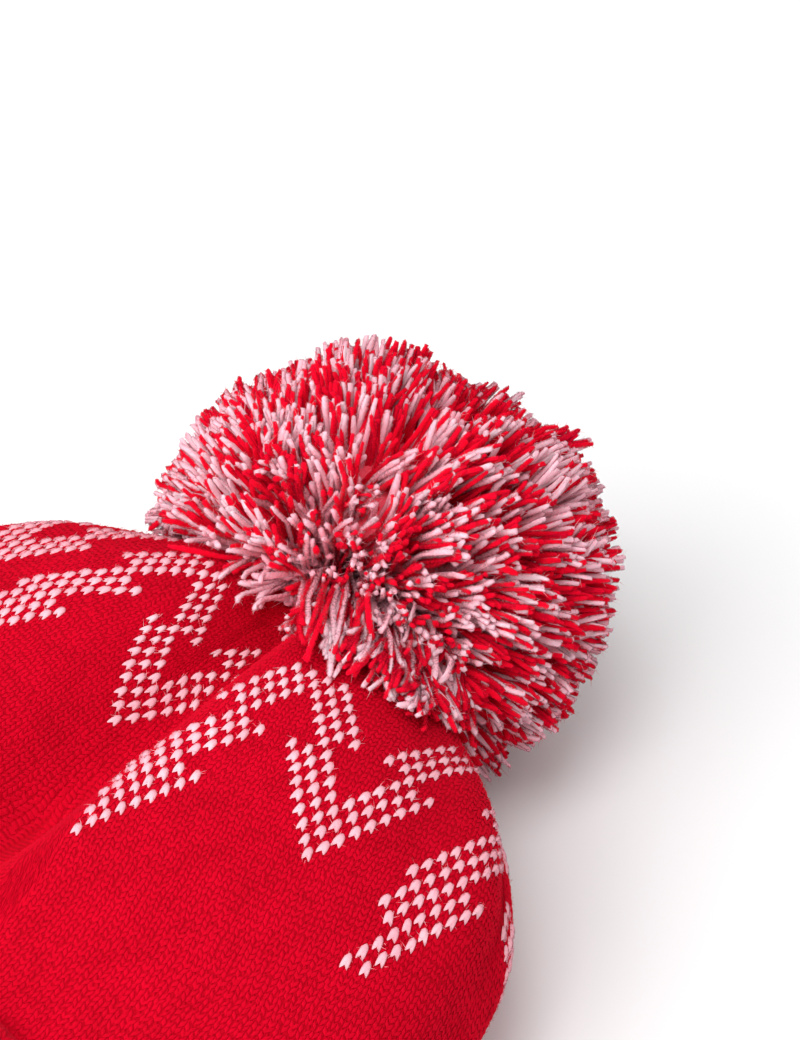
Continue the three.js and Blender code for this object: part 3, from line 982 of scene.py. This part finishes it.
def collarEnds():  # ends that lie on the hat's shoulders, and a few that stray further
    form = pompomForm
    lay = collarForm
    turns, reaches = np.array(form["collar"], float).T
    drawn = form["collarStrands"] + form["strayStrands"]
    shown = dice.random(drawn) < lay["shownShare"]
    angle = np.where(shown, dice.uniform(*lay["shownTurns"], drawn), dice.uniform(-180, 180, drawn))
    stray = np.arange(drawn) >= form["collarStrands"]
    angle = np.where(stray, dice.uniform(*lay["strayTurns"], drawn), angle)
    reach = np.interp(angle, turns, reaches)
    lying = dice.random(drawn) < lay["lyingShare"]
    laid = dice.uniform(*lay["lyingReach"], drawn)
    share = np.where(lying, laid, dice.uniform(*lay["standingReach"], drawn))
    back = reach * share + dice.normal(0, lay["reachJitter"], drawn)
    back = np.maximum(back + np.where(stray, dice.uniform(*lay["strayReach"], drawn), 0), lay["least"])
    rise = lay["standingRise"] * np.clip(1 - share, 0, 1) ** lay["standingCurve"]
    most = np.where(lying | stray, lay["lyingHeight"], lay["standingHeight"] + rise)
    height = lay["lowest"] + (most - lay["lowest"]) * dice.random(drawn)
    home = np.array([gatherX, 0, 0])
    tips = hatPoint(rowAtBack(back), np.radians(angle), height) - home
    away = unit(hatPoint(rowAtBack(back), np.radians(angle), height + 1) - home - tips)
    return tips, away


strandForm = {
    "drapeFull": 0.6,
    "bowJitter": 0.1,
    "handles": (0.42, 0.3),  # shares of the length
    "firstBend": 0.5,
    "outward": 0.08,
    "drapeLift": 0.12,
    "swing": (0.3, 2.2),
    "swingGrowth": 1.5,
    "waves": (0.7, 1.8),
    "groupTint": 0.55,
    "ownTint": 0.6,
    "room": (1.0, 4.5),  # off the knit
    "thickness": (0.82, 1.18),
    "slub": (0.88, 1.12),
    "sides": 4,
    "rough": 0.24,
}


def makeStrands():
    form = pompomForm
    run = strandForm
    roundTips, roundAway = roundEnds()
    collarTips, collarAway = collarEnds()
    tips = np.concatenate([roundTips, collarTips])
    away = np.concatenate([roundAway, collarAway])
    tuft = np.argmax(unit(tips - form["root"]) @ evenDirections(form["locks"]).T, axis=1)
    shift = dice.normal(0, form["tuftShift"], (form["locks"], 3))[tuft]
    bend = dice.normal(0, form["tuftBend"], (form["locks"], 3))[tuft]
    bend = bend + dice.normal(0, form["ownBend"], tips.shape)
    tips[:len(roundTips)] += shift[:len(roundTips)]
    bend[len(roundTips):] *= form["collarBend"]
    starts = form["root"] + dice.normal(0, form["rootSpread"], tips.shape)
    starts = starts + unit(tips - form["root"]) * form["rootGap"]
    straight = tips - starts
    length = np.linalg.norm(straight, axis=1, keepdims=True)
    draped = smoothStep(-unit(straight)[:, :1], 0.0, run["drapeFull"])
    draped[:len(roundTips)] = 0
    lifted = form["lifted"]
    bowed = unit(unit(straight) + lifted * draped + dice.normal(0, run["bowJitter"], tips.shape))
    early, late = run["handles"]
    first = starts + bowed * length * early + bend * run["firstBend"]
    leaves = unit(straight / length + away * run["outward"] * (1 - draped))
    second = tips - leaves * length * late + lifted * draped * run["drapeLift"] * length + bend
    t = form["rings"][None, :, None]
    paths = (
        (1 - t) ** 3 * starts[:, None] + 3 * (1 - t) ** 2 * t * first[:, None]
        + 3 * (1 - t) * t**2 * second[:, None] + t**3 * tips[:, None]
    )
    each = (len(tips), 1, 1)
    sideways = unit(np.cross(straight, dice.normal(0, 1, straight.shape)))[:, None]
    swing = dice.uniform(*run["swing"], each) * t ** run["swingGrowth"]
    waves = dice.uniform(*run["waves"], each) * t + dice.uniform(0, 1, each)
    paths = paths + sideways * swing * np.sin(2 * math.pi * waves)
    level = np.hypot(straight[:, 0], straight[:, 1]) / length[:, 0]
    paths[:, :, 2] -= form["sag"] * level[:, None] * t[:, :, 0] ** 2
    paths[:, :, 0] += gatherX
    groups = evenDirections(form["colourGroups"])
    group = np.argmax(unit(straight) @ groups.T, axis=1)
    tint = dice.normal(0, run["groupTint"], len(groups))[group] + dice.normal(0, run["ownTint"], len(tips))
    tint += form["paler"] * smoothStep(unit(straight) @ form["palerSide"], *form["palerRange"])
    return paths, tint > np.median(tint)


# the crown as a coarse shell that keeps the strands off the knit
crownShell = {"lines": 90, "lineStep": 2, "waleStep": 4, "ahead": 12.0, "floor": 1.0}
columns = knitGrid.shape[1]
crownFaces = []
for line in range(0, crownShell["lines"], crownShell["lineStep"]):
    for w in range(0, columns - crownShell["waleStep"], crownShell["waleStep"]):
        upper = line * columns + w
        lower = upper + crownShell["lineStep"] * columns
        crownFaces.append((upper, lower, lower + crownShell["waleStep"], upper + crownShell["waleStep"]))
crownTree = BVHTree.FromPolygons(knitGrid.reshape(-1, 3).tolist(), crownFaces)


def clearOfHat(paths, room):
    flat = paths.reshape(-1, 3)
    rooms = np.broadcast_to(room[:, None], paths.shape[:2]).ravel()
    normals = knitNormals.reshape(-1, 3)
    for i in np.nonzero(flat[:, 0] < gatherX + crownShell["ahead"])[0]:
        spot, _, face, _ = crownTree.find_nearest(Vector(flat[i]))
        outward = Vector(normals[crownFaces[face][0]])
        if (Vector(flat[i]) - spot).dot(outward) < rooms[i]:
            flat[i] = spot + outward * rooms[i]
    flat[:, 2] = np.maximum(flat[:, 2], crownShell["floor"])
    return flat.reshape(paths.shape)


tubeEnd = {"ragged": 2.4, "cap": 0.4}  # in radii of the yarn


def yarnTubes(name, paths, radii, sides, material, rough=0.0):
    count, rings = paths.shape[:2]
    tangents = unit(np.gradient(paths, axis=1))
    steady = unit(dice.normal(0, 1, (count, 1, 3)))
    out = unit(np.cross(tangents, steady))
    over = np.cross(tangents, out)
    turn = np.arange(sides) / sides * 2 * math.pi
    ring = out[:, :, None] * np.cos(turn)[:, None] + over[:, :, None] * np.sin(turn)[:, None]
    uneven = dice.uniform(1 - rough, 1 + rough, (count, rings, sides, 1))
    points = paths[:, :, None] + ring * radii[:, :, None, None] * uneven
    ragged = dice.uniform(-tubeEnd["ragged"], tubeEnd["ragged"], (count, sides, 1)) * rough
    points[:, -1] += tangents[:, -1, None] * radii[:, -1, None, None] * ragged
    caps = paths[:, -1] + tangents[:, -1] * radii[:, -1:] * tubeEnd["cap"]
    points = np.concatenate([points.reshape(-1, 3), caps])
    steps = np.linalg.norm(np.diff(paths, axis=1), axis=2)
    run = np.concatenate([np.zeros((count, 1)), np.cumsum(steps, 1)], 1)
    run = run + dice.uniform(0, 200, (count, 1))
    v = np.broadcast_to(run[:, :, None], (count, rings, sides)).ravel()
    u = np.broadcast_to(turn / (2 * math.pi), (count, rings, sides)).ravel()
    uvs = np.concatenate([np.stack([u, v], 1), np.stack([np.zeros(count), run[:, -1]], 1)])
    s = np.arange(sides)
    n = np.roll(s, -1)
    block = np.arange(rings - 1)[:, None] * sides
    quads = np.stack([block + s, block + n, block + sides + n, block + sides + s], -1).reshape(-1, 4)
    base = np.arange(count)[:, None, None] * rings * sides
    allQuads = (base + quads).reshape(-1, 4)
    lastRing = np.arange(count)[:, None] * rings * sides + (rings - 1) * sides
    apex = np.broadcast_to(count * rings * sides + np.arange(count)[:, None], (count, sides))
    tris = np.stack([lastRing + s, lastRing + n, apex], -1).reshape(-1, 3)
    print(name, count, "strands,", 2 * len(allQuads) + len(tris), "triangles")
    return ridingPiece(name, arrayMesh(name, points, allQuads, tris, uvs), material)


strands, isWhite = makeStrands()
strands = clearOfHat(strands, dice.uniform(*strandForm["room"], len(strands)))
thickness = pompomForm["yarn"] * dice.uniform(*strandForm["thickness"], (len(strands), 1))
thickness = thickness * pompomForm["swell"][None, :]
thickness *= dice.uniform(*strandForm["slub"], thickness.shape)
farHalf = strands[:, -1, 1] > pompomForm["partingSide"]
for colour, chosen, yarn in (("white", isWhite, pompomWhite), ("red", ~isWhite, pompomRed)):
    for half, here in (("near", ~farHalf), ("far", farHalf)):
        use = chosen & here
        name = f"pompom_{colour}_yarn_{half}"
        sides, rough = strandForm["sides"], strandForm["rough"]
        yarnPiece = yarnTubes(name, strands[use], thickness[use], sides, yarn, rough)
        if (colour, half) == ("white", "near"):
            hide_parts("pompom")


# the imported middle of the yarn, seen only between the strands
def makeHeart():
    form = pompomForm
    mesh = operatorMesh("pompom_heart", bmesh.ops.create_icosphere, {"subdivisions": 4, "radius": 1.0})
    ways = readPoints(mesh).astype(float)
    rough = dice.normal(0, form["heartRough"], (len(ways), 1))
    points = form["centre"] + ways * form["radii"] * form["heart"] + ways * rough
    points[:, 0] = np.maximum(points[:, 0], form["heartGap"]) + gatherX
    setPoints(mesh, points)
    mesh.update()
    ridingPiece("pompom_heart", mesh, pompomHeart)
    print("pompom_heart", len(mesh.polygons), "triangles")


makeHeart()


# single fibres that stand off the yarn
fibreForm = {
    "perStrand": 13,
    "firstRing": 2.0,
    "lastRing": 0.02,  # short of the end
    "towardsEnd": 1.4,
    "forward": (0.3, 1.2),
    "outward": (0.4, 1.0),
    "standOff": 0.45,
    "halfWidth": 0.06,
    "length": (3.0, 0.4),  # gamma shape and scale
    "floor": 0.3,
}


def looseFibres(name, paths, material):
    form = fibreForm
    pick = np.repeat(np.arange(len(paths)), form["perStrand"])
    each = (len(pick), 1)
    last = paths.shape[1] - 1 - form["lastRing"]
    t = last - (last - form["firstRing"]) * dice.random(len(pick)) ** form["towardsEnd"]
    i = np.minimum(t.astype(int), paths.shape[1] - 2)
    f = (t - i)[:, None]
    spots = paths[pick, i] * (1 - f) + paths[pick, i + 1] * f
    along = unit(paths[pick, i + 1] - paths[pick, i])
    away = unit(np.cross(along, dice.normal(0, 1, along.shape)))
    forward = along * dice.uniform(*form["forward"], each)
    heading = unit(forward + away * dice.uniform(*form["outward"], each))
    side = unit(np.cross(heading, dice.normal(0, 1, along.shape))) * form["halfWidth"]
    spots = spots + away * form["standOff"]
    ends = spots + heading * dice.gamma(*form["length"], each)
    ends[:, 2] = np.maximum(ends[:, 2], form["floor"])
    points = np.stack([spots - side, spots + side, ends], 1).reshape(-1, 3)
    tris = np.arange(len(points)).reshape(-1, 3)
    mesh = arrayMesh(name, points, noQuads, tris, np.zeros((len(points), 2)))
    ridingPiece(name, mesh, material)
    print(name, len(pick), "fibres")


looseFibres("pompom_white_fibres", strands[isWhite], pompomWhite)
looseFibres("pompom_red_fibres", strands[~isWhite], pompomRed)


# tie: strands through the gather, wound into a knot inside the crown
tieForm = {
    "height": 45.0,
    "radius": 2.2,
    "strands": 7,
    "twist": 1.5,
    "back": 15.0,  # behind the gather, where the strands start
    "length": 28.0,
    "coil": 3.9,
    "turns": 5,
    "coilBack": 7.0,
    "coilLength": 8.0,
    "yarn": 0.9,
}


def makeTie():
    form = tieForm

    def winding(x, radius, turn):
        return np.stack([gatherX + x, radius * np.cos(turn), form["height"] + radius * np.sin(turn)], 1)

    def tube(name, paths, sides):
        return yarnTubes(name, paths, np.full(paths.shape[:2], form["yarn"]), sides, pompomWhite)

    t = np.linspace(0, 1, 24)
    s = np.linspace(0, 1, 90)
    x = form["length"] * t - form["back"]
    starts = 2 * math.pi * np.arange(form["strands"]) / form["strands"]
    straight = np.array([winding(x, form["radius"], start + form["twist"] * t) for start in starts])
    coil = winding(-form["coilBack"] - form["coilLength"] * s, form["coil"], 2 * math.pi * form["turns"] * s)
    tie = tube("tie_strands", straight, 6)
    tube("tie_wrap", coil[None], 8)
    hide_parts("pompom_tie")


makeTie()


# floor, light and camera
stageForm = {
    "floor": (0.82, 0.82, 0.825),
    "floorSize": 6,
    "floorRoughness": 0.7,
    "sky": 0.74,
    "lamps": [  # name, power, size and place
        ("keyLight", 8.0, 0.7, (-0.42, -0.2, 1.3)),
        ("fillLight", 21.0, 1.5, (-1.15, 0.25, 0.86)),
    ],
    "aimHeight": 0.05,
}


def makeFloor():
    grid = {"x_segments": 2, "y_segments": 2, "size": stageForm["floorSize"]}
    mesh = operatorMesh("floor", bmesh.ops.create_grid, grid)
    material = bpy.data.materials.new("paleFloor")
    material.use_nodes = True
    shader = material.node_tree.nodes["Principled BSDF"]
    shader.inputs["Base Color"].default_value = (*stageForm["floor"], 1)
    shader.inputs["Roughness"].default_value = stageForm["floorRoughness"]
    floor = newPiece("floor", mesh, material)


def newHolder(name, data, place, back):
    holder = bpy.data.objects.new(name, data)
    holder.location = place
    holder.rotation_euler = back.to_track_quat("Z", "Y").to_euler()
    bpy.context.scene.collection.objects.link(holder)
    return holder


def makeLamp(name, power, size, place, target):
    lamp = bpy.data.lights.new(name, "AREA")
    lamp.energy = power
    lamp.shape = "DISK"
    lamp.size = size
    newHolder(name, lamp, place, Vector(place) - Vector(target))


makeFloor()
middle = Vector((gatherX * mm, 0, stageForm["aimHeight"]))
for lampName, power, size, place in stageForm["lamps"]:
    makeLamp(lampName, power, size, place, middle)
world = bpy.data.worlds.new("studio")
world.use_nodes = True
sky = world.node_tree.nodes["Background"]
sky.inputs["Color"].default_value = (1, 1, 1, 1)
sky.inputs["Strength"].default_value = stageForm["sky"]
bpy.context.scene.world = world
bpy.context.scene.view_settings.view_transform = "Standard"

viewForm = {
    "azimuth": -48,
    "elevation": 38,
    "distance": 700,
    "pixelsPerMm": 4.2,
    "centreAt": (390, 562),  # where the middle of the pompom shows
    "frame": (800, 1040),
    "sensor": 36,
}


def makeCamera():
    a, e = math.radians(viewForm["azimuth"]), math.radians(viewForm["elevation"])
    right = Vector((math.cos(a), math.sin(a), 0))
    back = Vector((math.sin(a) * math.cos(e), -math.cos(a) * math.cos(e), math.sin(e)))
    up = back.cross(right)
    width, height = viewForm["frame"]
    scale = viewForm["pixelsPerMm"]
    aim = Vector(pompomForm["centre"]) + Vector((gatherX, 0, 0))
    across, down = viewForm["centreAt"]
    aim += right * ((width / 2 - across) / scale) + up * ((down - height / 2) / scale)
    camera = bpy.data.cameras.new("photoView")
    camera.sensor_fit = "HORIZONTAL"
    camera.sensor_width = viewForm["sensor"]
    camera.lens = viewForm["sensor"] * scale * viewForm["distance"] / width
    place = (aim + back * viewForm["distance"]) * mm
    bpy.context.scene.camera = newHolder("photoView", camera, place, back)


makeCamera()
